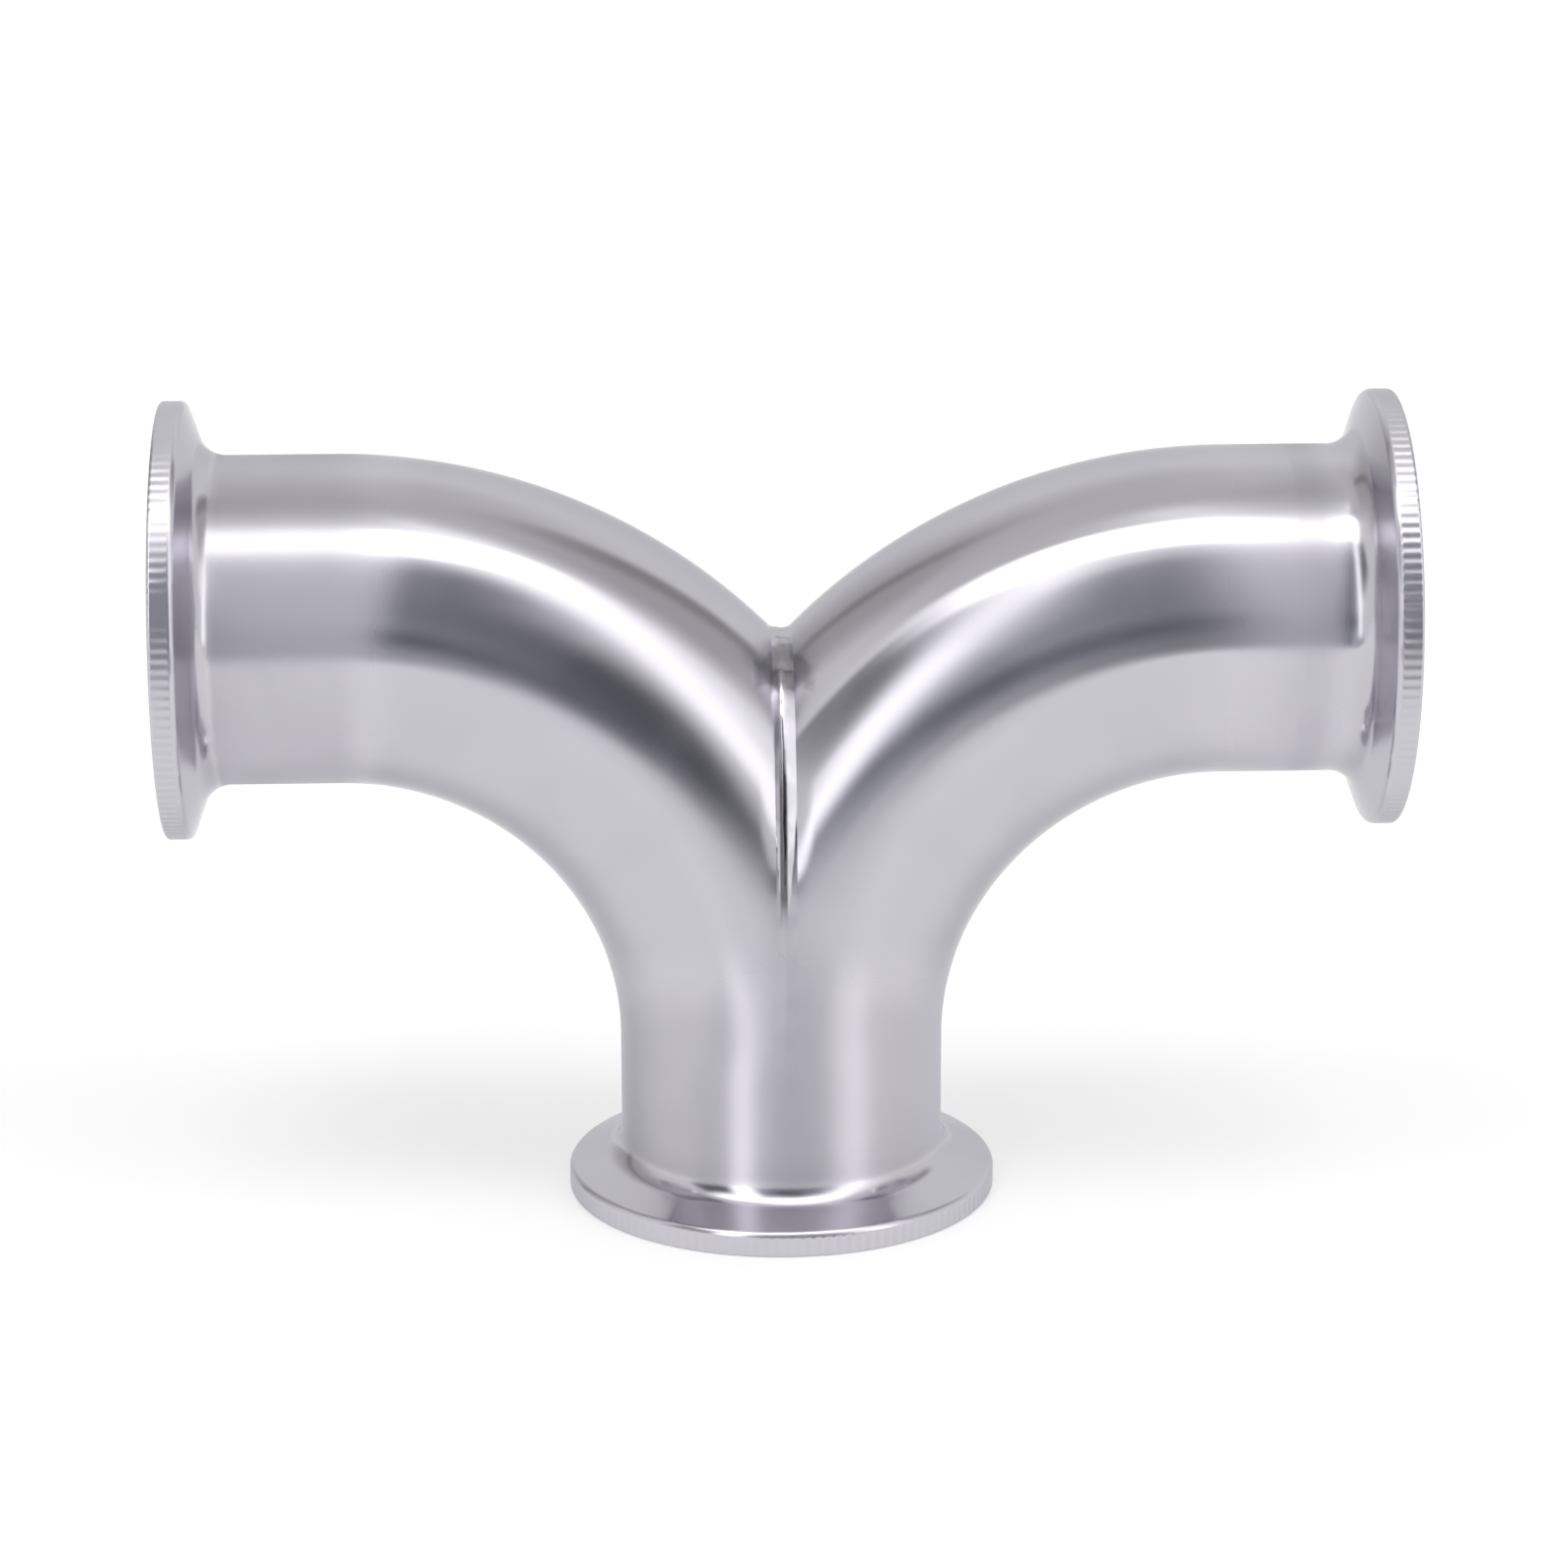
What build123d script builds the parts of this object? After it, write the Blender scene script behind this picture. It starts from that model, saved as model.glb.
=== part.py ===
"""Sanitary clamp wye: two bent elbows, mitred and seam-welded into one stub, with a clamp ferrule on each port.

Frame: millimetres, +Z up. The origin is the centre of the bottom ferrule's sealing face, which the fitting
stands on. The stub runs up +Z, and the two arms run out along -X and +X.
"""

from build123d import *
from math import radians, sqrt, tan
import os

# Elbow tube
tube_od = 38.0
wall = 1.5
bend_radius = 51.0
arm_tangent = 7.3
stub_tangent = 6.3

# Turned clamp ferrule, the same on all three ports
ferrule_length = 12.7
flange_overhang = 6.25
rim_thickness = 2.85
back_slope = 20.0
neck_fillet = 3.2
rim_back_round = 0.8
rim_face_round = 0.4
groove_inset = 3.5
groove_bead = 3.5
groove_depth = 1.5
groove_edge_round = 0.2

# Seam weld between the two elbows
weld_width = 2.4

# Worked out from the sizes above
tube_radius = tube_od / 2
bore_radius = tube_radius - wall
flange_radius = tube_radius + flange_overhang
slope_end = rim_thickness + flange_overhang * tan(radians(back_slope))
groove_radius = flange_radius - groove_inset
groove_half = sqrt(groove_depth * (groove_bead - groove_depth))
bend_start = ferrule_length + stub_tangent
arm_height = bend_start + bend_radius
elbow_end = bend_radius + arm_tangent
arm_reach = elbow_end + ferrule_length

# Each port's plane starts at the centre of its sealing face: local X is radial, local Y runs into the fitting
ports = {
    "left_ferrule": Plane((-arm_reach, 0, arm_height), x_dir=(0, 0, -1), z_dir=(0, -1, 0)),
    "right_ferrule": Plane((arm_reach, 0, arm_height), x_dir=(0, 0, 1), z_dir=(0, -1, 0)),
    "bottom_ferrule": Plane((0, 0, 0), x_dir=(1, 0, 0), z_dir=(0, -1, 0)),
}

# The right-hand elbow: a tube bent through a right angle, and cut flat where the seam weld begins
with BuildPart() as right_elbow:
    with BuildLine(Plane.XZ):
        stub_run = Line((0, ferrule_length), (0, bend_start))
        bend = JernArc(stub_run @ 1, stub_run % 1, bend_radius, -90)
        Line(bend @ 1, (elbow_end, arm_height))
    with BuildSketch(Plane.XY.offset(ferrule_length)):
        Circle(tube_radius)
        Circle(bore_radius, mode=Mode.SUBTRACT)
    sweep()
    split(bisect_by=Plane.YZ.offset(weld_width / 2), keep=Keep.TOP)
right_elbow.part.label = "right_elbow"

with BuildPart() as left_elbow:
    mirror(right_elbow.part, about=Plane.YZ)
left_elbow.part.label = "left_elbow"

# The seam weld fuses the full wall: it carries the right elbow's cut face straight across to the left elbow's,
# so its crown fills the valley between the two bends and its root is flat inside the crotch
with BuildPart() as seam_weld:
    cut_face = right_elbow.faces().filter_by(Axis.X).sort_by(Axis.X)[0]
    extrude(cut_face, amount=weld_width, dir=(-1, 0, 0))
seam_weld.part.label = "seam_weld"

# Half a ferrule's section: weld neck, sloped back, straight rim, and a round-bottomed gasket groove in the face
with BuildSketch() as ferrule_section:
    groove_mouth = [(groove_radius - groove_half, 0), (groove_radius + groove_half, 0)]
    with BuildLine():
        back = FilletPolyline(
            groove_mouth[1],
            (flange_radius, 0),
            (flange_radius, rim_thickness),
            (tube_radius, slope_end),
            (tube_radius, ferrule_length),
            radius=[rim_face_round, rim_back_round, neck_fillet],
        )
        Polyline(back @ 1, (bore_radius, ferrule_length), (bore_radius, 0), groove_mouth[0])
        ThreePointArc(groove_mouth[0], (groove_radius, groove_depth), groove_mouth[1])
    make_face()
    fillet([ferrule_section.vertices().sort_by_distance(edge)[0] for edge in groove_mouth], groove_edge_round)

# The same section is turned about each port's own axis
ferrules = []
for name, port in ports.items():
    with BuildPart() as ferrule:
        with BuildSketch(port):
            add(ferrule_section.sketch)
        revolve(axis=Axis(port.origin, port.y_dir))
    ferrule.part.label = name
    ferrules.append(ferrule)

os.makedirs("parts", exist_ok=True)
for piece in [right_elbow, left_elbow, seam_weld, *ferrules]:
    export_step(piece.part, f"parts/{piece.part.label}.step")
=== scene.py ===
"""Sanitary clamp wye: two polished bends, the dressed weld between them, and three turned clamp ferrules.

Lengths are metres in the row frame: +Z runs up the stub, the arms run along -X and +X, and +Y is the back.
The origin is the centre of the bottom ferrule's sealing face.
"""

import logging
from collections.abc import Callable
from dataclasses import dataclass
from enum import Enum
from math import atan2, cos, exp, hypot, pi, radians, sin, sqrt, tan

import bmesh
import bpy
from mathutils import Matrix, Vector, noise


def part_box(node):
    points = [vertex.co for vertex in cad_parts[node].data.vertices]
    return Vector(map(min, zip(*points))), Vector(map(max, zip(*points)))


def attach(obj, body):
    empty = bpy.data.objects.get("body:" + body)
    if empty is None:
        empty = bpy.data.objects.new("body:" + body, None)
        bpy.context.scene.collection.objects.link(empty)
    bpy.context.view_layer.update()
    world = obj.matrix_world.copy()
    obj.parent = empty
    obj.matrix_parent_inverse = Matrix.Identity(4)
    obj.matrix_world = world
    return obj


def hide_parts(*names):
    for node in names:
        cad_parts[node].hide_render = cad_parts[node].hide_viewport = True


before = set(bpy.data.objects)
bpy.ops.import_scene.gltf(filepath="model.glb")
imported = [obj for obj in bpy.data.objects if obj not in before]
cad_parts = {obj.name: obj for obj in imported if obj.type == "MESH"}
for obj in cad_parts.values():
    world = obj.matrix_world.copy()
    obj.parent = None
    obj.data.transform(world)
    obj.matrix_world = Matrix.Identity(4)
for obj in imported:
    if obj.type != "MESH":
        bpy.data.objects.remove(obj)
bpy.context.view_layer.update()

log = logging.getLogger("clamp_wye")

MM = 0.001
LAY = "lay"
AROUND = "around"
GLOW = "glow"
SHARP_ANGLE = radians(30)
CLOSE = 0.01 * MM
SAME = 0.0001 * MM

Socket = bpy.types.NodeSocket
Value = float | Socket
Span = tuple[float, float]
PlaceOf = Callable[[Vector], Vector]
AxisOf = Callable[[Vector], tuple[Vector, Vector]]


class Side(Enum):
    """The two sides of the mid plane, by the sign of X."""

    LEFT = -1
    RIGHT = 1


def smooth(value: float, low: float, high: float) -> float:
    """Rises smoothly from 0 to 1 between two values.

    Args:
        value: the input.
        low: the input that gives 0.
        high: the input that gives 1; where it is the lower one, the result falls.

    Returns:
        The share, held at its ends.
    """
    share = min(max((value - low) / (high - low), 0.0), 1.0)
    return share * share * (3 - 2 * share)


class ShaderGraph:
    """Adds nodes to one node tree and joins them."""

    def __init__(self, tree: bpy.types.NodeTree) -> None:
        """Starts on a tree.

        Args:
            tree: the material's, world's or group's node tree.
        """
        self.tree = tree

    def add(self, kind: str, inputs: dict | None = None, **settings) -> bpy.types.Node:
        """Adds one node.

        Args:
            kind: the node's type name.
            inputs: a value or another node's output for each named or numbered input.
            **settings: the node's own properties.

        Returns:
            The new node.
        """
        node = self.tree.nodes.new(kind)
        for name, value in settings.items():
            setattr(node, name, value)
        for key, value in (inputs or {}).items():
            if isinstance(value, Socket):
                self.tree.links.new(value, node.inputs[key])
            else:
                node.inputs[key].default_value = value
        return node

    def math(self, operation: str, *values: Value) -> Socket:
        """Adds a Math node.

        Args:
            operation: the node's operation.
            *values: its inputs in order, as numbers or outputs.

        Returns:
            The node's output.
        """
        return self.add("ShaderNodeMath", dict(enumerate(values)), operation=operation).outputs[0]

    def ramp(self, value: Value, low: float, high: float, start: float = 0.0, end: float = 1.0) -> Socket:
        """Maps a value smoothly from one range to another, and holds it at the ends.

        Args:
            value: the input.
            low: the input that gives start.
            high: the input that gives end.
            start: the first result.
            end: the last result.

        Returns:
            The mapped value.
        """
        inputs = {"Value": value, "From Min": low, "From Max": high, "To Min": start, "To Max": end}
        return self.add("ShaderNodeMapRange", inputs, interpolation_type="SMOOTHSTEP").outputs["Result"]

    def within(self, mask: Socket, value: Value, span: Span) -> Socket:
        """Narrows a mask to where a value has passed from the first end of a span to the second."""
        return self.math("MULTIPLY", mask, self.ramp(value, *span))

    def noise(self, place: Socket, scale: Value, detail: Value) -> Socket:
        """Adds a Noise Texture node at a place, and gives its value."""
        inputs = {"Vector": place, "Scale": scale, "Detail": detail}
        return self.add("ShaderNodeTexNoise", inputs).outputs["Fac"]


def new_material(name: str) -> tuple[bpy.types.Material, ShaderGraph]:
    """Starts a node material.

    Args:
        name: the material's name.

    Returns:
        The material and its empty graph.
    """
    material = bpy.data.materials.new(name)
    material.use_nodes = True
    material.node_tree.nodes.clear()
    return material, ShaderGraph(material.node_tree)


def add_object(name: str, data: bpy.types.ID) -> bpy.types.Object:
    """Puts an object into the scene, at the origin.

    Args:
        name: the object's name.
        data: its mesh or camera.

    Returns:
        The object.
    """
    thing = bpy.data.objects.new(name, data)
    bpy.context.scene.collection.objects.link(thing)
    return thing


def mesh_data(name: str, mesh: bmesh.types.BMesh, material: bpy.types.Material) -> bpy.types.Mesh:
    """Turns a bmesh into mesh data with one material.

    Args:
        name: the data's name.
        mesh: the shape, which is freed.
        material: its finish.

    Returns:
        The mesh data.
    """
    data = bpy.data.meshes.new(name)
    mesh.to_mesh(data)
    mesh.free()
    data.materials.append(material)
    return data


class SharedGroups:
    """The node groups that more than one material uses, each built once."""

    def __init__(self) -> None:
        """Builds the groups."""
        self.grain = self._grain()

    @staticmethod
    def _grain() -> bpy.types.NodeTree:
        """Builds the fine lines that a polishing belt or a lathe leaves.

        Returns:
            A group from a stretched position to a height and a mask from 0 to 1.
        """
        tree = bpy.data.node_groups.new("grain", "ShaderNodeTree")
        for name, kind in {"Position": "Vector", "Stretch": "Vector", "Detail": "Float"}.items():
            tree.interface.new_socket(name=name, in_out="INPUT", socket_type=f"NodeSocket{kind}")
        for name in ("Height", "Mask"):
            tree.interface.new_socket(name=name, in_out="OUTPUT", socket_type="NodeSocketFloat")
        graph = ShaderGraph(tree)
        given = graph.add("NodeGroupInput").outputs
        ends = {0: given["Position"], 1: given["Stretch"]}
        stretched = graph.add("ShaderNodeVectorMath", ends, operation="MULTIPLY").outputs[0]
        height = graph.noise(stretched, 1.0, given["Detail"])
        graph.add("NodeGroupOutput", {"Height": height, "Mask": graph.ramp(height, 0.35, 0.65)})
        return tree


@dataclass(frozen=True, kw_only=True)
class Steel:
    """A stainless steel finish: its colour, its gloss, and the marks that its last operation left.

    Each entry in satin_runs is a place along the piece where the polish ends, the place where the satin has
    taken over, and how far the satin goes there, up to 1.
    """

    name: str
    roughness: float
    wave_pitch: float
    wave_height: float
    line_pitch: tuple[float, float, float]
    line_height: float
    satin_runs: tuple[tuple[float, float, float], ...]
    color: tuple[float, float, float] = (0.568, 0.552, 0.598)
    edge_tint: tuple[float, float, float, float] = (0.76, 0.76, 0.78, 1.0)
    roughness_spread: float = 0.015
    anisotropy: float = 1.0
    satin_roughness: float = 0.44
    satin_gain: float = 0.25
    wave_shade: float = 0.97

    def material(self, groups: SharedGroups) -> bpy.types.Material:
        """Builds the finish as a node material.

        Args:
            groups: the shared node groups.

        Returns:
            The material.
        """
        material, graph = new_material(self.name)
        lay = graph.add("ShaderNodeAttribute", attribute_name=LAY).outputs["Vector"]
        around = graph.add("ShaderNodeAttribute", attribute_name=AROUND).outputs["Vector"]
        grain = {"Position": lay, "Stretch": tuple(1 / pitch for pitch in self.line_pitch), "Detail": 3.0}
        lines = graph.add("ShaderNodeGroup", grain, node_tree=groups.grain).outputs
        grain = {"Position": lay, "Stretch": (1 / self.wave_pitch,) * 3, "Detail": 1.0}
        waves = graph.add("ShaderNodeGroup", grain, node_tree=groups.grain).outputs
        shade = graph.ramp(waves["Mask"], 0.0, 1.0, self.wave_shade, 1.0)
        glossiest = self.roughness - self.roughness_spread
        dullest = self.roughness + self.roughness_spread
        roughness = graph.ramp(waves["Mask"], 0.0, 1.0, glossiest, dullest)
        along = graph.add("ShaderNodeSeparateXYZ", {"Vector": lay}).outputs["Z"]
        for polished, satin, extent in self.satin_runs:
            share = graph.ramp(along, polished, satin, 0.0, extent)
            roughness = graph.math("MULTIPLY_ADD", share, self.satin_roughness - self.roughness, roughness)
            shade = graph.math("MULTIPLY_ADD", share, self.satin_gain, shade)
        height = graph.math("MULTIPLY", waves["Height"], self.wave_height)
        height = graph.math("MULTIPLY_ADD", lines["Height"], self.line_height, height)
        height, shade = self.marks(graph, lay, height, shade)
        tint = graph.add("ShaderNodeVectorMath", {0: self.color, "Scale": shade}, operation="SCALE")
        normal = graph.add("ShaderNodeBump", {"Height": height, "Distance": 1.0, "Strength": 1.0})
        shader = graph.add(
            "ShaderNodeBsdfPrincipled",
            {
                "Base Color": tint.outputs[0],
                "Metallic": 1.0,
                "Roughness": roughness,
                "Anisotropic": self.anisotropy,
                "Anisotropic Rotation": 0.25,
                "Tangent": around,
                "Specular Tint": self.edge_tint,
                "Normal": normal.outputs["Normal"],
            },
        )
        graph.add("ShaderNodeOutputMaterial", {"Surface": shader.outputs["BSDF"]})
        return material

    def marks(self, graph: ShaderGraph, lay: Socket, height: Socket, shade: Socket) -> tuple[Socket, Socket]:
        """Leaves the height and the shade as they are: this finish has no marks of its own."""
        return height, shade


@dataclass(frozen=True, kw_only=True)
class WeldedSteel(Steel):
    """Polished steel, with painted shade round the top of the crotch, where the bends reflect each other
    darkly.

    A bead may also have shade painted along the crease in its middle, and a tube a shallow dip towards the
    weld's toe. Each span is the place where a mark is absent and the place where it is full: across the mid
    plane in reaches, and up Z in the others.
    """

    # painted shade round the top of the crotch: its reach from the mid plane, where it begins and ends up Z,
    # its strength
    painted_crotch_reach: Span = (3.9 * MM, 2.5 * MM)
    painted_crotch_from: Span = (63.7 * MM, 64.7 * MM)
    painted_crotch_to: Span = (67.2 * MM, 66.4 * MM)
    painted_crotch_shade: float = -0.34
    cloud_pitch: float = 1.5 * MM
    cloud_reach: float = 0.8 * MM
    painted_crease_shade: float = 0.0
    # painted shade along the bead's crease: its strength, its place and reach across the mid plane, where it
    # begins and ends up Z
    crease_at: float = -0.35 * MM
    crease_reach: Span = (0.55 * MM, 0.30 * MM)
    crease_from: Span = (37.5 * MM, 41.5 * MM)
    crease_to: Span = (59 * MM, 53 * MM)
    toe_depth: float = 0.0
    toe_reach: Span = (3.2 * MM, -0.8 * MM)
    toe_from: Span = (41 * MM, 46 * MM)
    toe_to: Span = (57 * MM, 51 * MM)

    def marks(self, graph: ShaderGraph, lay: Socket, height: Socket, shade: Socket) -> tuple[Socket, Socket]:
        """Paints shade round the top of the crotch and along the bead's crease, and dips the tube at the
        weld's toe.

        Args:
            graph: the material's graph.
            lay: the place on the tube before it is bent; not used here.
            height: the height so far.
            shade: the shade so far.

        Returns:
            The height and the shade with these marks.
        """
        place = graph.add("ShaderNodeTexCoord").outputs["Object"]
        cloud = graph.noise(place, 1 / self.cloud_pitch, 2.0)
        blot = graph.math("MULTIPLY_ADD", cloud, 2 * self.cloud_reach, -self.cloud_reach)
        point = graph.add("ShaderNodeSeparateXYZ", {"Vector": place}).outputs
        off_plane = graph.math("ABSOLUTE", point["X"])
        level = graph.math("ADD", point["Z"], blot)
        # painted shade round the top of the crotch, standing in for the bends' dark reflections of each other
        tint = graph.ramp(graph.math("ADD", off_plane, blot), *self.painted_crotch_reach)
        tint = graph.within(tint, level, self.painted_crotch_from)
        tint = graph.within(tint, level, self.painted_crotch_to)
        shade = graph.math("MULTIPLY_ADD", tint, self.painted_crotch_shade, shade)
        # painted shade along the bead's crease, where shade falls in the hollow
        if self.painted_crease_shade:
            offset = graph.math("ABSOLUTE", graph.math("SUBTRACT", point["X"], self.crease_at))
            crease = graph.within(graph.ramp(offset, *self.crease_reach), point["Z"], self.crease_from)
            crease = graph.within(crease, point["Z"], self.crease_to)
            shade = graph.math("MULTIPLY_ADD", crease, self.painted_crease_shade, shade)
        if self.toe_depth:
            near = graph.within(graph.ramp(off_plane, *self.toe_reach), point["Z"], self.toe_from)
            near = graph.within(near, point["Z"], self.toe_to)
            height = graph.math("MULTIPLY_ADD", near, -self.toe_depth, height)
        return height, shade


@dataclass(frozen=True, kw_only=True)
class TurnedSteel(Steel):
    """Turned steel, with the chatter that the lathe tool left round the rim as short bars along the axis.

    The chatter comes in over rim_edge below the rim's radius, and ends over depth_edge before rim_depth.
    """

    rim_radius: float
    rim_edge: Span = (0.25 * MM, 0.05 * MM)
    rim_depth: float = 2.45 * MM
    depth_edge: float = 0.3 * MM
    chatter_pitch: float = 1.2 * MM
    chatter_height: float = 0.032 * MM
    chatter_painted_shade: float = 0.03
    patch_pitch: float = 9 * MM
    patch_weakest: float = 0.25

    def marks(self, graph: ShaderGraph, lay: Socket, height: Socket, shade: Socket) -> tuple[Socket, Socket]:
        """Adds the chatter's bumps to the rim, and paints the bars alternately lighter and darker in place of
        their reflections.

        Args:
            graph: the material's graph.
            lay: the place on the ferrule before it is turned to its port.
            height: the height so far.
            shade: the shade so far.

        Returns:
            The height and the shade with the chatter.
        """
        place = graph.add("ShaderNodeSeparateXYZ", {"Vector": lay}).outputs
        angle = graph.math("ARCTAN2", place["Y"], place["X"])
        bars = round(2 * pi * self.rim_radius / self.chatter_pitch)
        wave = graph.math("SINE", graph.math("MULTIPLY", angle, float(bars)))
        across = graph.math("MULTIPLY", place["Y"], place["Y"])
        radius = graph.math("SQRT", graph.math("MULTIPLY_ADD", place["X"], place["X"], across))
        outside, inside = self.rim_edge
        on_rim = graph.ramp(radius, self.rim_radius - outside, self.rim_radius - inside)
        on_rim = graph.within(on_rim, place["Z"], (self.rim_depth, self.rim_depth - self.depth_edge))
        patches = graph.noise(lay, 1 / self.patch_pitch, 1.0)
        strong = graph.math("MULTIPLY", on_rim, graph.ramp(patches, 0.35, 0.6, self.patch_weakest, 1.0))
        chatter = graph.math("MULTIPLY", wave, strong)
        height = graph.math("MULTIPLY_ADD", chatter, self.chatter_height, height)
        # painted reflection: each bar's colour is made a little lighter or darker along with its bump
        return height, graph.math("MULTIPLY_ADD", chatter, self.chatter_painted_shade, shade)


@dataclass
class Piece:
    """A finished piece of the fitting, and what it stands for."""

    node: str
    slot: str

    def dress(self, mesh: bmesh.types.BMesh, material: bpy.types.Material) -> bpy.types.Object:
        """Turns a closed bmesh into the piece's object.

        Args:
            mesh: the shape, with its lay written; it is freed.
            material: the piece's finish.

        Returns:
            The object, riding on the fitting in place of its CAD node.
        """
        bmesh.ops.recalc_face_normals(mesh, faces=mesh.faces)
        for face in mesh.faces:
            face.smooth = True
        for edge in mesh.edges:
            edge.smooth = edge.calc_face_angle(0.0) < SHARP_ANGLE
        piece = add_object(f"{self.node}_skin", mesh_data(self.node, mesh, material))
        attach(piece, "root")
        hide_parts(self.node)
        log.info("%s: %d faces", piece.name, len(piece.data.polygons))
        return piece


def write_lay(mesh: bmesh.types.BMesh, place: PlaceOf) -> None:
    """Stores where each point lay before the piece was bent or turned, for its finish to follow.

    Args:
        mesh: the shape.
        place: a function from a point in the row frame to that earlier point.
    """
    layer = mesh.verts.layers.float_vector.new(LAY)
    for vert in mesh.verts:
        vert[layer] = place(vert.co)


def write_around(mesh: bmesh.types.BMesh, axis_at: AxisOf, side: Side | None = None) -> None:
    """Stores the way round the axis at each point, which the brushed and turned lines follow.

    Args:
        mesh: the shape, in place.
        axis_at: a function from a point to the nearest point of the axis and the way along it.
        side: the side of the mid plane that takes it, or None for all points.
    """
    layers = mesh.verts.layers.float_vector
    layer = layers.get(AROUND) or layers.new(AROUND)
    for vert in mesh.verts:
        if side is None or vert.co.x * side.value >= 0:
            centre, along = axis_at(vert.co)
            vert[layer] = along.cross(vert.co - centre).normalized()


def region_of(faces: list) -> list:
    """Lists a region of faces with its edges and points, as the extruding operators take it.

    Args:
        faces: the region's faces.

    Returns:
        The faces, edges and points.
    """
    edges = {edge for face in faces for edge in face.edges}
    verts = {vert for face in faces for vert in face.verts}
    return [*faces, *edges, *verts]


def faces_of(parts: list) -> list:
    """Picks the faces out of an operator's result."""
    return [part for part in parts if isinstance(part, bmesh.types.BMFace)]


def push(mesh: bmesh.types.BMesh, faces: list, step: Vector) -> list:
    """Extrudes a region of faces.

    Args:
        mesh: the shape.
        faces: the region.
        step: how far it moves.

    Returns:
        The moved faces.
    """
    grown = bmesh.ops.extrude_face_region(mesh, geom=region_of(faces))["geom"]
    moved = [part for part in grown if isinstance(part, bmesh.types.BMVert)]
    bmesh.ops.translate(mesh, vec=step, verts=moved)
    return faces_of(grown)


@dataclass
class Elbow:
    """One bend of tube with a straight run each way, mitred on the fitting's mid plane.

    It is made as the right-hand elbow, and turned over for the left.
    """

    tube_radius: float
    bore_radius: float
    bend_radius: float
    stub_end: float
    arm_height: float
    arm_end: float
    mitre: float
    satin_length: float = 16 * MM
    around: int = 192
    bend_steps: int = 128

    @property
    def bend_start(self) -> float:
        """Height at which the stub's straight run ends."""
        return self.arm_height - self.bend_radius

    def straighten(self, point: Vector) -> Vector:
        """Unrolls a point of the right-hand elbow.

        Args:
            point: a point in the row frame.

        Returns:
            Its place in the tube before bending: across the bend, across Y, and along the tube.
        """
        rise = point.z - self.bend_start
        if rise <= 0:
            return Vector((point.x, point.y, point.z))
        if point.x >= self.bend_radius:
            along = self.bend_start + self.bend_radius * pi / 2 + point.x - self.bend_radius
            return Vector((self.arm_height - point.z, point.y, along))
        inward = self.bend_radius - point.x
        reach = hypot(inward, rise)
        along = self.bend_start + self.bend_radius * atan2(rise, inward)
        return Vector((self.bend_radius - reach, point.y, along))

    @property
    def satin_start(self) -> float:
        """Place along the straightened tube where the arm's polish begins to give way to satin."""
        return self.straighten(Vector((self.arm_end, 0, self.arm_height))).z - self.satin_length

    def lay_at(self, point: Vector, fade: float) -> Vector:
        """Unrolls a point, with the arm's satin drawn out.

        Args:
            point: a point of the right-hand elbow.
            fade: how many times its usual length the polish takes to give way.

        Returns:
            The place that the finish follows.
        """
        place = self.straighten(point)
        if place.z > self.satin_start:
            place.z = self.satin_start + (place.z - self.satin_start) / fade
        return place

    def axis_at(self, point: Vector) -> tuple[Vector, Vector]:
        """Finds the tube's axis beside a point of the right-hand elbow.

        Args:
            point: a point in the row frame.

        Returns:
            The point of the axis, and the way along it.
        """
        rise = point.z - self.bend_start
        if rise <= 0:
            return Vector((0, 0, point.z)), Vector((0, 0, 1))
        if point.x >= self.bend_radius:
            return Vector((point.x, 0, self.arm_height)), Vector((1, 0, 0))
        outward = Vector((point.x - self.bend_radius, 0, rise)).normalized()
        centre = Vector((self.bend_radius, 0, self.bend_start)) + outward * self.bend_radius
        return centre, Vector((outward.z, 0, -outward.x))

    def side_axis(self, side: Side) -> AxisOf:
        """Gives the axis of one side's elbow.

        Args:
            side: which elbow.

        Returns:
            A function from a point in the row frame to the nearest point of the axis and the way along it.
        """
        turn = Matrix.Diagonal((side.value, 1, 1))
        return lambda point: tuple(turn @ vector for vector in self.axis_at(turn @ point))

    def wall(self) -> bmesh.types.BMesh:
        """Makes the whole bent tube, before it is mitred.

        Returns:
            A closed shape.
        """
        mesh = bmesh.new()
        foot = Matrix.Translation((0, 0, self.stub_end))
        for radius in (self.tube_radius, self.bore_radius):
            bmesh.ops.create_circle(mesh, radius=radius, segments=self.around, matrix=foot)
        ring = bmesh.ops.bridge_loops(mesh, edges=mesh.edges[:])["faces"]
        ring = push(mesh, ring, Vector((0, 0, self.bend_start - self.stub_end)))
        swept = bmesh.ops.spin(
            mesh,
            geom=region_of(ring),
            cent=(self.bend_radius, 0, self.bend_start),
            axis=(0, 1, 0),
            angle=pi / 2,
            steps=self.bend_steps,
        )
        push(mesh, faces_of(swept["geom_last"]), Vector((self.arm_end - self.bend_radius, 0, 0)))
        return mesh

    def mitred(self) -> bmesh.types.BMesh:
        """Cuts the bent tube flat where the seam weld begins.

        Returns:
            The closed right-hand elbow.
        """
        mesh = self.wall()
        cut = bmesh.ops.bisect_plane(
            mesh,
            geom=mesh.verts[:] + mesh.edges[:] + mesh.faces[:],
            dist=SAME,
            plane_co=(self.mitre, 0, 0),
            plane_no=(1, 0, 0),
            clear_inner=True,
        )
        rim = [part for part in cut["geom_cut"] if isinstance(part, bmesh.types.BMEdge)]
        bmesh.ops.triangle_fill(mesh, use_beauty=True, edges=rim)
        return mesh

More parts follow.
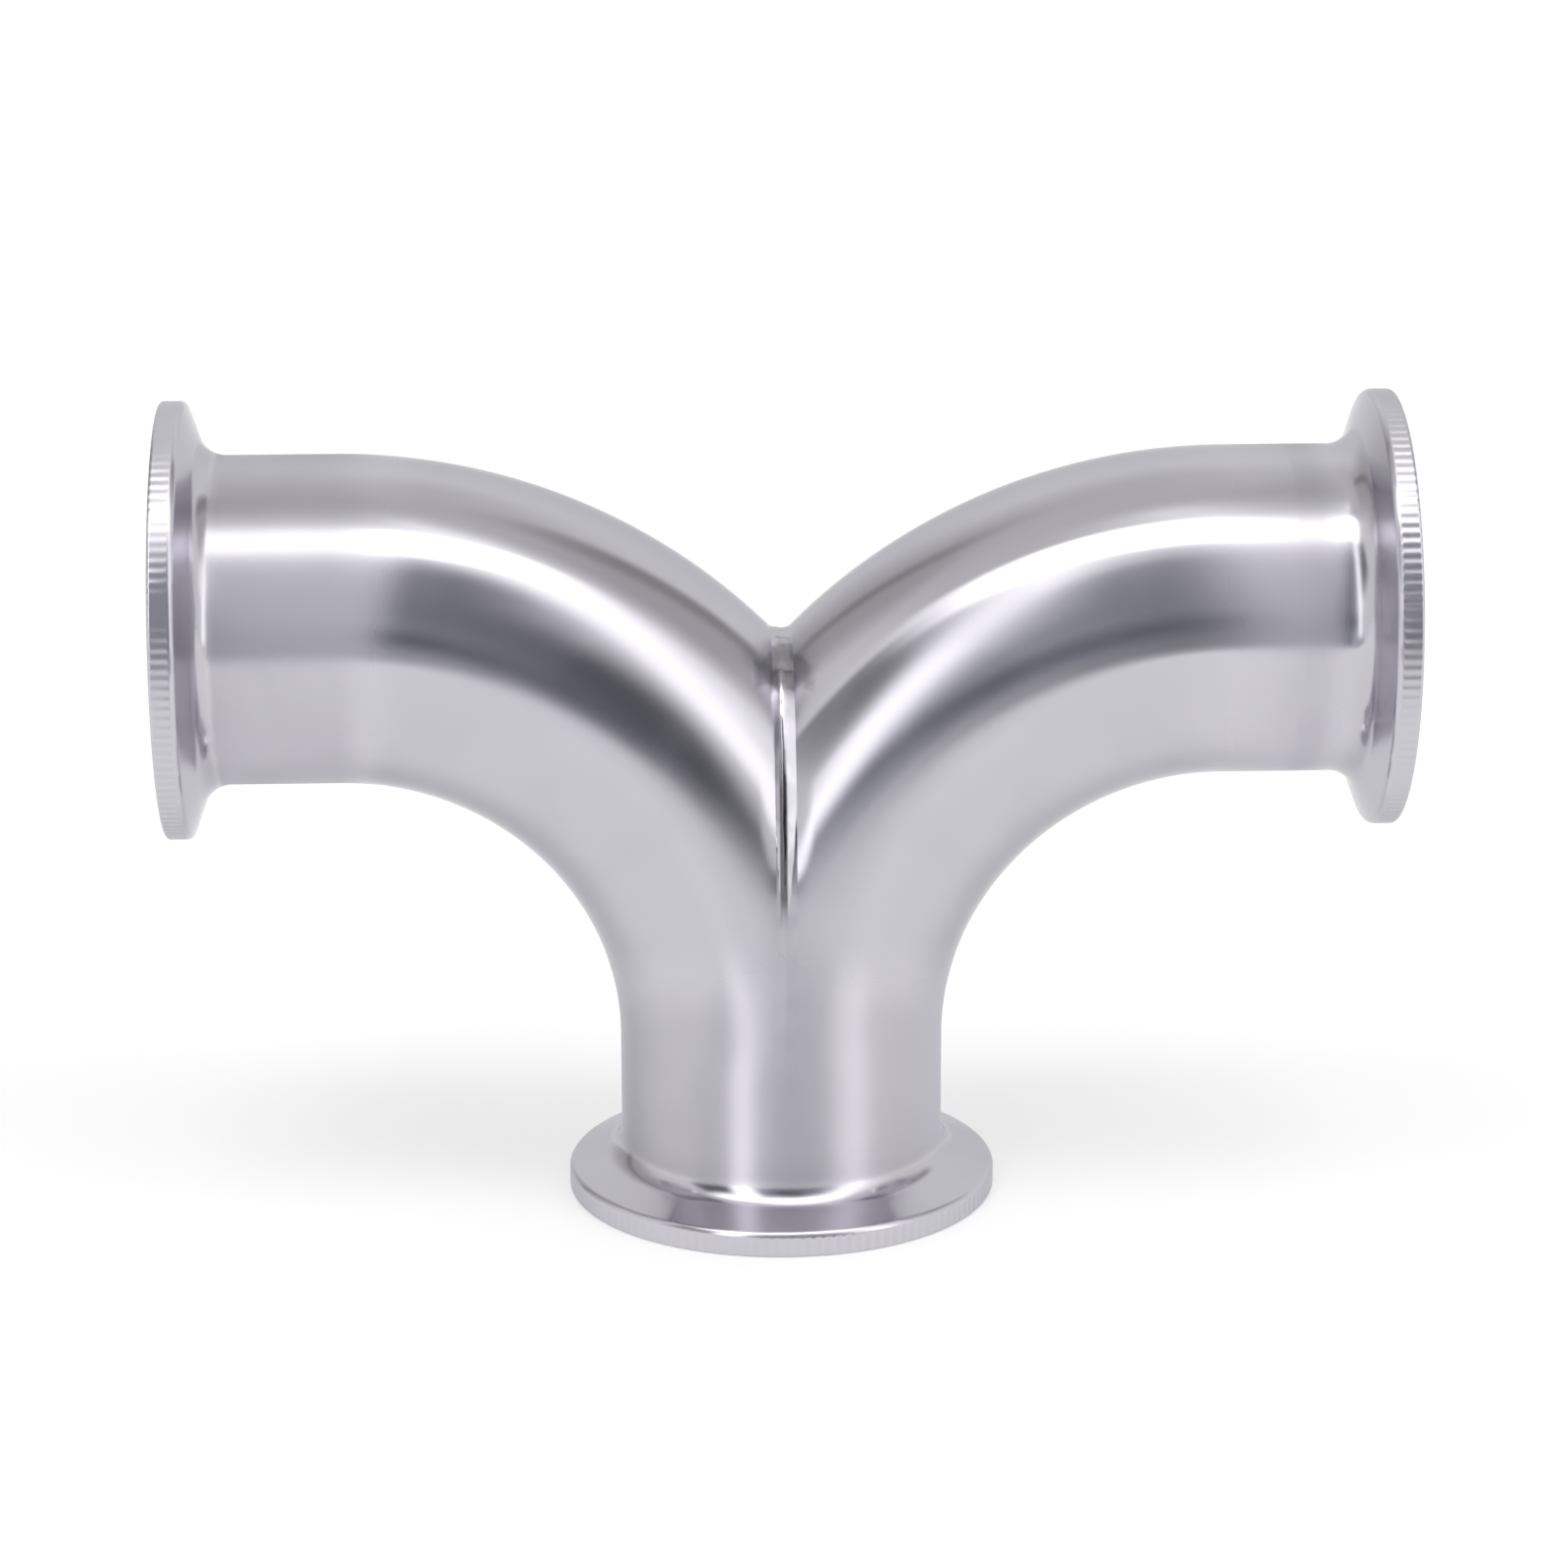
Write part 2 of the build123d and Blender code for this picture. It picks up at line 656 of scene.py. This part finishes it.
    def build(
        self, shape: bmesh.types.BMesh, side: Side, fade: float, material: bpy.types.Material
    ) -> bpy.types.Object:
        """Makes one elbow.

        Args:
            shape: the mitred right-hand elbow, which is copied.
            side: which elbow it is.
            fade: how many times its usual length the arm's polish takes to give way to satin.
            material: its finish.

        Returns:
            The elbow's object.
        """
        mesh = shape.copy()
        write_lay(mesh, lambda point: self.lay_at(point, fade))
        bmesh.ops.scale(mesh, vec=(side.value, 1, 1), verts=mesh.verts)
        write_around(mesh, self.side_axis(side))
        return Piece(f"{side.name.lower()}_elbow", "polished_tube").dress(mesh, material)


@dataclass
class SeamWeld:
    """The weld between the elbows: a ridged bead that narrows to a tip, and a run dressed flush below it.

    Shares are of the weld's half width, and heights are along Z.
    """

    elbow: Elbow
    crown: float = 0.58 * MM
    ridge: float = 0.22
    lean: float = -0.30
    ripple: float = 0.25
    ripple_pitch: float = 1.6 * MM
    valley: float = 0.50 * MM
    valley_above: float = 66.6 * MM
    valley_blend: float = 1.8 * MM
    valley_flattening: float = 0.6
    lump: float = 0.12 * MM
    lump_height: float = 65.9 * MM
    lump_reach: float = 0.8 * MM
    wander: float = 0.20 * MM
    wander_pitch: float = 4.0 * MM
    dressed_below: float = 38.0 * MM
    proud_above: float = 43.0 * MM
    full_above: float = 52.0 * MM
    tip_width: float = 0.40
    layers: int = 16
    smallest_step: float = 0.12 * MM

    def _crown_height(self, across: float, point: Vector) -> float:
        """Works out how far a point of the weld's outer face is raised.

        Args:
            across: its place across the weld, from -1 to 1.
            point: its place in the row frame.

        Returns:
            The rise, which is negative where the weld is dressed into the valley between the bends.
        """
        elbow = self.elbow
        half = elbow.mitre
        rise = max(point.z - elbow.bend_start, 0.0)
        reach = hypot(elbow.bend_radius - half, rise)
        if rise > 0:
            lean = (elbow.bend_radius - reach) * (elbow.bend_radius - half) / reach / elbow.tube_radius
        else:
            lean = half / elbow.tube_radius
        slope = -lean / sqrt(1 - lean * lean)
        flush = slope * half * (across * across - 1) / 2
        share = smooth(point.z, self.dressed_below, self.proud_above)
        drift = noise.noise(Vector((0, point.y, point.z)) / self.wander_pitch)
        crest = self.lean + self.wander / half * drift
        width = self.tip_width + (1 - self.tip_width) * smooth(point.z, self.dressed_below, self.full_above)
        spot = min(max(crest + (across - crest) / width, -1.0), 1.0)
        flank = (spot - crest) / (1 - crest if across > crest else 1 + crest)
        ripple = 1 + self.ripple * noise.noise(Vector((3.0, point.y, point.z)) / self.ripple_pitch)
        lump = self.lump * exp(-(((point.z - self.lump_height) / self.lump_reach) ** 2))
        foot = hypot(1.0, self.ridge)
        bead = (self.crown * ripple + lump) * width * (foot - hypot(flank, self.ridge)) / (foot - self.ridge)
        sunk = smooth(point.z, self.valley_above - self.valley_blend, self.valley_above)
        bead = bead * (1 - self.valley_flattening * sunk) - self.valley * (1 - across * across) * sunk
        return flush * (1 - share) + bead * share

    def build(self, shape: bmesh.types.BMesh, material: bpy.types.Material) -> bpy.types.Object:
        """Makes the weld from the elbow's cut end.

        Args:
            shape: the mitred right-hand elbow, which is copied.
            material: its finish.

        Returns:
            The weld's object.
        """
        elbow = self.elbow
        mesh = shape.copy()
        past_cut = elbow.mitre + 10 * SAME
        away = [face for face in mesh.faces if max(vert.co.x for vert in face.verts) > past_cut]
        bmesh.ops.delete(mesh, geom=away, context="FACES")
        bmesh.ops.remove_doubles(mesh, verts=mesh.verts, dist=self.smallest_step)
        cut = mesh.faces[:]
        step = Vector((-2 * elbow.mitre / self.layers, 0, 0))
        for _ in range(self.layers):
            cut = push(mesh, cut, step)
        for vert in mesh.verts:
            rise = max(vert.co.z - elbow.bend_start, 0.0)
            reach = hypot(elbow.bend_radius - elbow.mitre, rise)
            outward = Vector((0, vert.co.y, (reach - elbow.bend_radius) * rise / reach))
            across = (elbow.bend_radius - reach) * (elbow.bend_radius - elbow.mitre) / reach
            if rise == 0:
                across = elbow.mitre
            radius = hypot(outward.length, across)
            if radius > (elbow.tube_radius + elbow.bore_radius) / 2:
                vert.co += outward.normalized() * self._crown_height(vert.co.x / elbow.mitre, vert.co)
        write_lay(mesh, lambda point: elbow.straighten(Vector((abs(point.x), point.y, point.z))))
        for side in Side:
            write_around(mesh, elbow.side_axis(side), side)
        return Piece("seam_weld", "weld_bead").dress(mesh, material)


class SectionPen:
    """Draws a section in the XZ plane as a chain of edges."""

    def __init__(self, mesh: bmesh.types.BMesh, radius: float, depth: float) -> None:
        """Puts the pen down.

        Args:
            mesh: the bmesh that takes the section.
            radius: the first point's distance from the axis.
            depth: the first point's distance from the sealing face.
        """
        self.mesh = mesh
        self.tip = bmesh.ops.create_vert(mesh, co=(radius, 0, depth))["vert"][0]
        self.corners: list[tuple[bmesh.types.BMVert, float]] = []

    def line(self, radius: float, depth: float, rounding: float = 0.0) -> None:
        """Draws a straight line.

        Args:
            radius: the end's distance from the axis.
            depth: the end's distance from the sealing face.
            rounding: the length that is taken off each side of the end's corner to round it.
        """
        grown = bmesh.ops.extrude_vert_indiv(self.mesh, verts=[self.tip])["verts"]
        self.tip = grown[0]
        self.tip.co = (radius, 0, depth)
        if rounding:
            self.corners.append((self.tip, rounding))

    def arc(self, radius: float, depth: float, angle: float, steps: int) -> None:
        """Draws an arc about a centre.

        Args:
            radius: the centre's distance from the axis.
            depth: the centre's distance from the sealing face.
            angle: how far it turns.
            steps: how many edges it has.
        """
        swept = bmesh.ops.spin(
            self.mesh, geom=[self.tip], cent=(radius, 0, depth), axis=(0, 1, 0), angle=angle, steps=steps
        )
        self.tip = next(part for part in swept["geom_last"] if isinstance(part, bmesh.types.BMVert))

    def close(self, segments: int) -> None:
        """Joins the ends and rounds the corners.

        Args:
            segments: how many edges each rounded corner has.
        """
        bmesh.ops.remove_doubles(self.mesh, verts=self.mesh.verts, dist=SAME)
        for corner, rounding in self.corners:
            bmesh.ops.bevel(
                self.mesh,
                geom=[corner],
                offset=rounding,
                offset_type="OFFSET",
                affect="VERTICES",
                segments=segments,
                profile=0.5,
                material=-1,
            )


@dataclass(frozen=True)
class Port:
    """One end of the fitting: its ferrule's node, the centre of its sealing face, and the way inward from it.

    The fillet's polish fades out over fade times the usual length.
    """

    node: str
    face: Vector
    inward: Vector
    fade: float = 1.0


@dataclass
class ClampFerrule:
    """A turned ferrule: gasket groove, flange rim, sloped back, and the weld neck that meets the tube."""

    tube_radius: float
    bore_radius: float
    flange_radius: float
    length: float
    rim_thickness: float = 2.85 * MM
    back_slope: float = radians(20)
    neck_fillet: float = 3.2 * MM
    rim_back_round: float = 0.8 * MM
    rim_face_round: float = 0.4 * MM
    groove_inset: float = 3.5 * MM
    groove_bead: float = 3.5 * MM
    groove_depth: float = 1.5 * MM
    satin_lift: float = 0.6 * MM
    flat_margin: float = 0.12 * MM
    around: int = 288
    groove_steps: int = 20
    corner_steps: int = 10

    @property
    def slope_end(self) -> float:
        """Depth at which the sloped back would meet the tube."""
        return self.rim_thickness + (self.flange_radius - self.tube_radius) * tan(self.back_slope)

    @property
    def satin_start(self) -> float:
        """Depth at which the back's polish gives way to the neck's satin, part of the way up the fillet."""
        return self.slope_end + self.satin_lift

    def section(self) -> bmesh.types.BMesh:
        """Draws half the ferrule's section.

        Returns:
            A bmesh with the closed chain of edges.
        """
        mesh = bmesh.new()
        groove = self.flange_radius - self.groove_inset
        half = sqrt(self.groove_depth * (self.groove_bead - self.groove_depth))
        bead = self.groove_bead / 2
        sunk = self.groove_depth - bead
        sweep = 2 * (pi / 2 + atan2(sunk, half))
        corner = tan((pi / 2 - self.back_slope) / 2)
        pen = SectionPen(mesh, self.bore_radius, 0)
        pen.line(groove - half, 0)
        pen.arc(groove, sunk, sweep, self.groove_steps)
        pen.line(self.flange_radius, 0, self.rim_face_round)
        pen.line(self.flange_radius, self.rim_thickness, self.rim_back_round * corner)
        pen.line(self.tube_radius, self.slope_end, self.neck_fillet * corner)
        pen.line(self.tube_radius, self.length)
        pen.line(self.bore_radius, self.length)
        pen.line(self.bore_radius, 0)
        pen.close(self.corner_steps)
        return mesh

    def hold_flats(self, mesh: bmesh.types.BMesh) -> None:
        """Splits each long straight edge of the section near its ends, so that flats keep a flat shade.

        Args:
            mesh: the section.
        """
        margin = self.flat_margin
        for edge in mesh.edges[:]:
            length = edge.calc_length()
            if length > 4 * margin:
                start, end = edge.verts
                halves = (edge, bmesh.utils.edge_split(edge, start, margin / length)[0])
                far = next(half for half in halves if end in half.verts)
                bmesh.utils.edge_split(far, end, margin / (length - margin))

    def turned(self) -> bmesh.types.BMesh:
        """Turns the section about Z.

        Returns:
            The closed ferrule, with its sealing face on Z = 0.
        """
        mesh = self.section()
        self.hold_flats(mesh)
        bmesh.ops.spin(
            mesh,
            geom=mesh.verts[:] + mesh.edges[:],
            cent=(0, 0, 0),
            axis=(0, 0, 1),
            angle=2 * pi,
            steps=self.around,
            use_merge=True,
        )
        bmesh.ops.remove_doubles(mesh, verts=mesh.verts, dist=SAME)
        return mesh

    def lay_at(self, point: Vector, fade: float) -> Vector:
        """Gives the place that the finish follows, with the neck's satin drawn out.

        Args:
            point: a point of the turned ferrule.
            fade: how many times its usual length the polish takes to give way.

        Returns:
            The point, moved along the axis where it is past the start of the satin.
        """
        past = max(point.z - self.satin_start, 0.0)
        return Vector((point.x, point.y, point.z - past + past / fade))

    def build(self, shape: bmesh.types.BMesh, port: Port, material: bpy.types.Material) -> bpy.types.Object:
        """Puts a ferrule on its port.

        Args:
            shape: the turned ferrule, which is copied.
            port: where it goes.
            material: its finish.

        Returns:
            The ferrule's object.
        """
        mesh = shape.copy()
        write_lay(mesh, lambda point: self.lay_at(point, port.fade))
        turn = Vector((0, 0, 1)).rotation_difference(port.inward).to_matrix().to_4x4()
        bmesh.ops.transform(mesh, matrix=Matrix.Translation(port.face) @ turn, verts=mesh.verts)
        write_around(mesh, lambda point: (port.face, port.inward))
        around = mesh.verts.layers.float_vector[AROUND]
        for vert in mesh.verts:
            if (vert.co - port.face).cross(port.inward).length > self.flange_radius - CLOSE:
                vert[around] = port.inward
        return Piece(port.node, "turned_ferrule").dress(mesh, material)


@dataclass(frozen=True)
class TentPanel:
    """A flat panel of the light tent, seen from the fitting.

    Angles are degrees, and azimuth 0 is the front and +90 is +X.
    """

    azimuth: float
    elevation: float
    width: float
    height: float
    light: float
    tint: tuple[float, float, float] = (1.0, 1.0, 1.0)
    side_blur: float = 4.0
    end_blur: float = 6.0
    roll: float = 0.0

    def axes(self) -> tuple[Vector, Vector, Vector]:
        """Works out the panel's own axes.

        Returns:
            The ways towards the panel, across it and up it.
        """
        azimuth = radians(self.azimuth)
        elevation = radians(self.elevation)
        facing = Vector((sin(azimuth) * cos(elevation), -cos(azimuth) * cos(elevation), sin(elevation)))
        across = Vector((cos(azimuth), sin(azimuth), 0))
        upward = across.cross(facing).normalized()
        turn = Matrix.Rotation(radians(self.roll), 3, facing)
        return facing, turn @ across, turn @ upward

    def cover(self, direction: Vector, axes: tuple[Vector, Vector, Vector]) -> float:
        """Works out how far the panel covers a direction.

        Args:
            direction: a unit vector from the fitting.
            axes: the panel's own axes.

        Returns:
            A share from 0 outside the soft edge to 1 inside it.
        """
        facing, across, upward = axes
        depth = direction.dot(facing)
        share = 1.0 if depth > 1e-3 else 0.0
        for axis, size, blur in ((across, self.width, self.side_blur), (upward, self.height, self.end_blur)):
            if share > 0:
                half = tan(radians(size / 2))
                edge = tan(radians(blur))
                share *= smooth(abs(direction.dot(axis)) / depth, half + edge, half - edge)
        return share


@dataclass
class LightTent:
    """A round tent of plain grey cloth with lit and shaded panels, which the polished steel reflects.

    The cloth's light changes from cloth_low to cloth_high between two elevations in degrees.
    """

    radius: float = 4.0
    around: int = 240
    rings: int = 120
    cloth_low: float = 0.93
    cloth_high: float = 0.72
    dims_from: float = 40.0
    dims_to: float = 62.0
    panels: tuple[TentPanel, ...] = (
        TentPanel(98, 48, 35, 35, 0.56, side_blur=4, end_blur=2, roll=-8),
        TentPanel(121, 44, 11, 39, 0.36, side_blur=4, end_blur=6),
        TentPanel(-130, 17, 37, 83, 0.52, side_blur=15, end_blur=6, roll=-12),
        TentPanel(-131, 25, 6, 62, 0.32, side_blur=2, end_blur=9),
        TentPanel(52, 52, 22, 73, 1.45, side_blur=16, end_blur=6, roll=28),
        TentPanel(-51, 33, 30, 26, 0.17, (0.94, 0.97, 1.08), side_blur=2, end_blur=7, roll=-18),
        TentPanel(-15, 13, 37, 98, 0.57, (0.94, 0.98, 1.10), side_blur=5, end_blur=10, roll=-30),
        TentPanel(10, 21, 32, 65, 0.19, (0.94, 0.98, 1.10), side_blur=16, end_blur=5, roll=6),
        TentPanel(23, 3, 20, 46, 0.09, (0.92, 0.97, 1.14), side_blur=3, end_blur=12, roll=-8),
        TentPanel(-17, 5, 48, 11, 0.14, (0.92, 0.97, 1.14), side_blur=11, end_blur=7),
        TentPanel(0, 39, 5, 48, 0.09, (0.97, 0.98, 1.06), side_blur=5, end_blur=6, roll=-24),
        TentPanel(-31, 27, 14, 66, 2.2, side_blur=5, end_blur=5),
        TentPanel(51, 39, 17, 85, 1.9, side_blur=5, end_blur=5, roll=3),
        TentPanel(-9, 71, 50, 17, 3.7, side_blur=15, end_blur=2, roll=9),
        TentPanel(26, 87, 11, 6, 2.0, side_blur=8, end_blur=8),
    )

    def build(self) -> bpy.types.Object:
        """Hangs the tent.

        Returns:
            The tent's object, which the camera looks through.
        """
        mesh = bmesh.new()
        bmesh.ops.create_uvsphere(mesh, u_segments=self.around, v_segments=self.rings, radius=self.radius)
        bmesh.ops.reverse_faces(mesh, faces=mesh.faces)
        self._light(mesh)
        tent = add_object("light_tent", mesh_data("light_tent", mesh, self._cloth()))
        tent.visible_camera = False
        return tent

    def _light(self, mesh: bmesh.types.BMesh) -> None:
        """Stores each point's light, with the panels laid over the cloth in their order.

        Args:
            mesh: the tent.
        """
        axes = [panel.axes() for panel in self.panels]
        low = sin(radians(self.dims_from))
        high = sin(radians(self.dims_to))
        layer = mesh.verts.layers.float_color.new(GLOW)
        for vert in mesh.verts:
            direction = vert.co.normalized()
            rise = smooth(direction.z, low, high)
            shade = self.cloth_low + (self.cloth_high - self.cloth_low) * rise
            glow = Vector((shade, shade, shade))
            for panel, frame_axes in zip(self.panels, axes):
                share = panel.cover(direction, frame_axes)
                if share > 0:
                    glow = glow.lerp(Vector(panel.tint) * panel.light, share)
            vert[layer] = (*glow, 1.0)

    def _cloth(self) -> bpy.types.Material:
        """Builds the tent's material.

        Returns:
            A material that glows with the light stored on the mesh.
        """
        material, graph = new_material("tent_cloth")
        color = graph.add("ShaderNodeAttribute", attribute_name=GLOW).outputs["Color"]
        glow = graph.add("ShaderNodeEmission", {"Color": color, "Strength": 1.0})
        material.cycles.emission_sampling = "NONE"
        graph.add("ShaderNodeOutputMaterial", {"Surface": glow.outputs["Emission"]})
        return material


@dataclass
class Table:
    """The pale table top that the fitting stands on, with its front edge a hand's length from the fitting."""

    front: float = 0.28
    depth: float = 3.0
    width: float = 4.0
    color: float = 0.56
    lift: float = 0.48

    def build(self) -> bpy.types.Object:
        """Lays the table top at the fitting's foot.

        Returns:
            The table's object.
        """
        mesh = bmesh.new()
        bmesh.ops.create_grid(mesh, x_segments=1, y_segments=1, size=0.5)
        size = Vector((self.width, self.depth, 1))
        bmesh.ops.scale(mesh, vec=size, verts=mesh.verts)
        bmesh.ops.translate(mesh, vec=(0, self.depth / 2 - self.front, 0), verts=mesh.verts)
        table = add_object("table_top", mesh_data("table_top", mesh, self._laminate()))
        return table

    def _laminate(self) -> bpy.types.Material:
        """Builds the table's white laminate.

        Returns:
            A diffuse white that is lifted for the camera, polished metal and glass, and keeps the shadow.
        """
        material, graph = new_material("white_laminate")
        rays = graph.add("ShaderNodeLightPath").outputs
        seen = graph.math("MAXIMUM", rays["Is Camera Ray"], rays["Is Glossy Ray"])
        seen = graph.math("MAXIMUM", seen, rays["Is Transmission Ray"])
        shader = graph.add(
            "ShaderNodeBsdfPrincipled",
            {
                "Base Color": (self.color, self.color, self.color, 1.0),
                "Roughness": 0.7,
                "Specular IOR Level": 0.0,
                "Emission Color": (1.0, 1.0, 1.0, 1.0),
                "Emission Strength": graph.math("MULTIPLY", seen, self.lift),
            },
        )
        graph.add("ShaderNodeOutputMaterial", {"Surface": shader.outputs["BSDF"]})
        return material


@dataclass
class PhotoCamera:
    """The camera at the photograph's place. Angles are degrees."""

    aim: Vector
    distance: float = 596.98 * MM
    azimuth: float = -2.209
    elevation: float = 17.789
    pan: float = 0.039
    tilt: float = 1.324
    roll: float = -0.138
    lens: float = 116.33
    sensor: float = 36.0

    def build(self) -> bpy.types.Object:
        """Sets up the camera and makes it the scene's own.

        Returns:
            The camera's object.
        """
        azimuth = radians(self.azimuth)
        elevation = radians(self.elevation)
        back = Vector((sin(azimuth) * cos(elevation), -cos(azimuth) * cos(elevation), sin(elevation)))
        right = (-back).cross(Vector((0, 0, 1))).normalized()
        up = right.cross(-back)
        stance = Matrix((right, up, back)).transposed()
        turn = Matrix.Rotation(-radians(self.pan), 3, "Y")
        nod = Matrix.Rotation(radians(self.tilt), 3, "X")
        lean = Matrix.Rotation(radians(self.roll), 3, "Z")
        data = bpy.data.cameras.new("photo_camera")
        data.lens = self.lens
        data.sensor_width = self.sensor
        data.sensor_fit = "HORIZONTAL"
        camera = add_object("photo_camera", data)
        stand = Matrix.Translation(self.aim + back * self.distance)
        camera.matrix_world = stand @ (stance @ turn @ nod @ lean).to_4x4()
        bpy.context.scene.camera = camera
        return camera


@dataclass
class Studio:
    """The plain white room: world, tent, table, camera and the picture's colour handling."""

    aim_height: float = 35 * MM

    def build(self) -> None:
        """Sets the room up."""
        scene = bpy.context.scene
        scene.view_settings.view_transform = "Standard"
        world = bpy.data.worlds.new("white_room")
        world.use_nodes = True
        background = world.node_tree.nodes["Background"].inputs
        background["Color"].default_value = (1.0, 1.0, 1.0, 1.0)
        background["Strength"].default_value = 1.0
        scene.world = world
        LightTent().build()
        Table().build()
        PhotoCamera(aim=Vector((0, 0, self.aim_height))).build()


@dataclass
class ClampWye:
    """The whole fitting, with its sizes read from the CAD model.

    The stub's polish ends and its satin takes over at two heights above the stub's end.
    """

    groups: SharedGroups
    bend_radius: float = 51.0 * MM
    wall: float = 1.5 * MM
    stub_polish: float = 29 * MM
    stub_satin: float = 11 * MM
    arm_fade: float = 9 * MM
    neck_fade: float = 1.0 * MM

    def __post_init__(self) -> None:
        """Reads the sizes and makes the finishes."""
        _, ferrule_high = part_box("bottom_ferrule")
        arm_low, arm_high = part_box("right_ferrule")
        _, elbow_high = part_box("right_elbow")
        _, weld_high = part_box("seam_weld")
        self.arm_height = (arm_low[2] + arm_high[2]) / 2
        self.reach = arm_high[0]
        tube_radius = elbow_high[1]
        bore_radius = tube_radius - self.wall
        self.elbow = Elbow(
            tube_radius=tube_radius,
            bore_radius=bore_radius,
            bend_radius=self.bend_radius,
            stub_end=ferrule_high[2],
            arm_height=self.arm_height,
            arm_end=elbow_high[0],
            mitre=weld_high[0],
        )
        self.ferrule = ClampFerrule(
            tube_radius=tube_radius,
            bore_radius=bore_radius,
            flange_radius=ferrule_high[0],
            length=ferrule_high[2],
        )
        tube_start = self.elbow.stub_end
        stub_run = (tube_start + self.stub_polish, tube_start + self.stub_satin, 1.0)
        arm_satin = self.elbow.satin_start
        arm_run = (arm_satin, arm_satin + self.arm_fade, 1.0)
        neck = self.ferrule.satin_start
        neck_run = (neck, neck + self.neck_fade, 1.0)
        rim_run = (3.2 * MM, 2.6 * MM, 0.35)
        self.polished = WeldedSteel(
            name="polished_tube",
            roughness=0.160,
            wave_pitch=14 * MM,
            wave_height=0.02 * MM,
            line_pitch=(6 * MM, 6 * MM, 0.25 * MM),
            line_height=0.0003 * MM,
            satin_runs=(stub_run, arm_run),
            toe_depth=0.2 * MM,
        ).material(self.groups)
        self.turned = TurnedSteel(
            name="turned_ferrule",
            roughness=0.13,
            wave_pitch=10 * MM,
            wave_height=0.01 * MM,
            line_pitch=(6 * MM, 6 * MM, 0.2 * MM),
            line_height=0.0003 * MM,
            satin_runs=(neck_run, rim_run),
            rim_radius=self.ferrule.flange_radius,
        ).material(self.groups)
        self.bead = WeldedSteel(
            name="weld_bead",
            roughness=0.155,
            roughness_spread=0.03,
            wave_pitch=3 * MM,
            wave_height=0.01 * MM,
            line_pitch=(0.9 * MM, 0.9 * MM, 0.9 * MM),
            line_height=0.001 * MM,
            satin_runs=(stub_run,),
            # painted shade over the bead's top at the crotch, stronger than on the tubes
            painted_crotch_from=(63.1 * MM, 64.1 * MM),
            painted_crotch_to=(67.9 * MM, 67.1 * MM),
            painted_crotch_shade=-0.42,
            # painted shade along the bead's crease
            painted_crease_shade=-0.72,
        ).material(self.groups)

    def build(self) -> None:
        """Makes every piece of the fitting."""
        bend = self.elbow.mitred()
        for side, fade in ((Side.LEFT, 1.0), (Side.RIGHT, 2.2)):
            self.elbow.build(bend, side, fade, self.polished)
        SeamWeld(self.elbow).build(bend, self.bead)
        bend.free()
        ports = [Port("bottom_ferrule", Vector((0, 0, 0)), Vector((0, 0, 1)))]
        for side, fade in ((Side.LEFT, 1.0), (Side.RIGHT, 5.0)):
            face = Vector((side.value * self.reach, 0, self.arm_height))
            ports.append(Port(f"{side.name.lower()}_ferrule", face, Vector((-side.value, 0, 0)), fade))
        ring = self.ferrule.turned()
        for port in ports:
            self.ferrule.build(ring, port, self.turned)
        ring.free()


def main() -> None:
    """Builds the studio and the fitting."""
    logging.basicConfig(level=logging.INFO, format="%(name)s: %(message)s")
    Studio().build()
    ClampWye(SharedGroups()).build()


if __name__ == "__main__":
    main()
